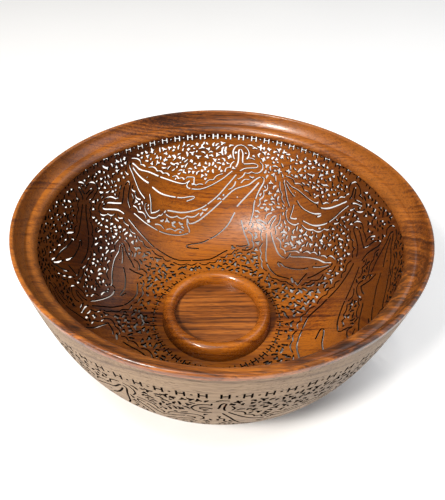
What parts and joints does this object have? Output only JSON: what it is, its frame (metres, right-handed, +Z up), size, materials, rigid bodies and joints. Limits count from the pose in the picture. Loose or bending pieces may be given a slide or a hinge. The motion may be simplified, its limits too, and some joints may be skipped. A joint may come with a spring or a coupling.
{
  "type": "carved wooden bowl",
  "caption": "Turned round wooden bowl with a moulded rim, a thin wall pierced with dolphin fretwork, a raised centre ring and a low foot ring.",
  "frame": {"origin": "centre of the foot ring's flat underside, on the surface the bowl stands on", "axes": "+Z up along the turning axis; +Y towards the back of the bowl as pictured, +X to the right"},
  "size_m": [0.305, 0.305, 0.14],
  "materials": {
    "wall_wood": "gloss lacquer inside, satin outside",
    "rim_wood": "gloss lacquer",
    "centre_wood": "gloss lacquer",
    "disc_wood": "gloss lacquer",
    "foot_wood": "satin"
  },
  "bodies": {
    "root": {"bowl_wall": "wall_wood", "rim_ring": "rim_wood", "centre_ring": "centre_wood", "centre_disc": "disc_wood", "foot_ring": "foot_wood"}
  },
  "joints": []
}
